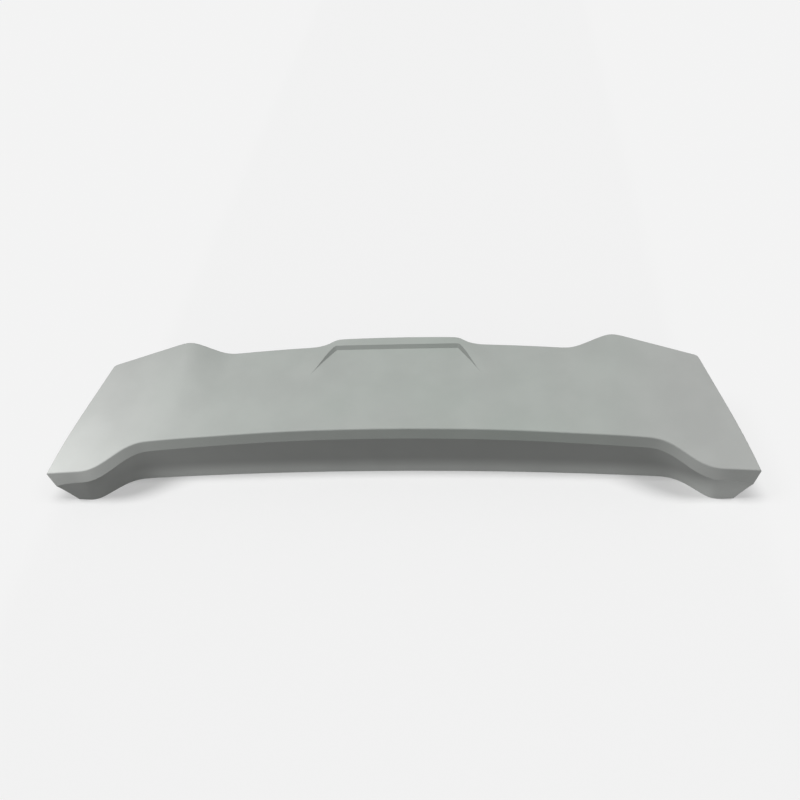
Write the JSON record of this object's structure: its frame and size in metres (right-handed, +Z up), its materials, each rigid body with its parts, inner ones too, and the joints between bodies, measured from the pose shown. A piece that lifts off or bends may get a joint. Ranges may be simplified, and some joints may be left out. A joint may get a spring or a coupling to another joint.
{
  "type": "rear spoiler",
  "caption": "Wide hollow roof-edge spoiler, unpainted grey, with stepped-forward ends under a rounded lip, peaked ears and a sunk centre panel, open underneath on a bonding flange.",
  "frame": {"origin": "on the floor below the middle of the moulding's box", "axes": "+X along the width, +Y from the lip edge to the eared edge, +Z up as it lies on its flange"},
  "size_m": [1.1482, 0.2674, 0.167],
  "materials": {
    "gelcoat": "satin"
  },
  "bodies": {
    "root": {"spoiler_shell": "gelcoat"}
  },
  "joints": []
}
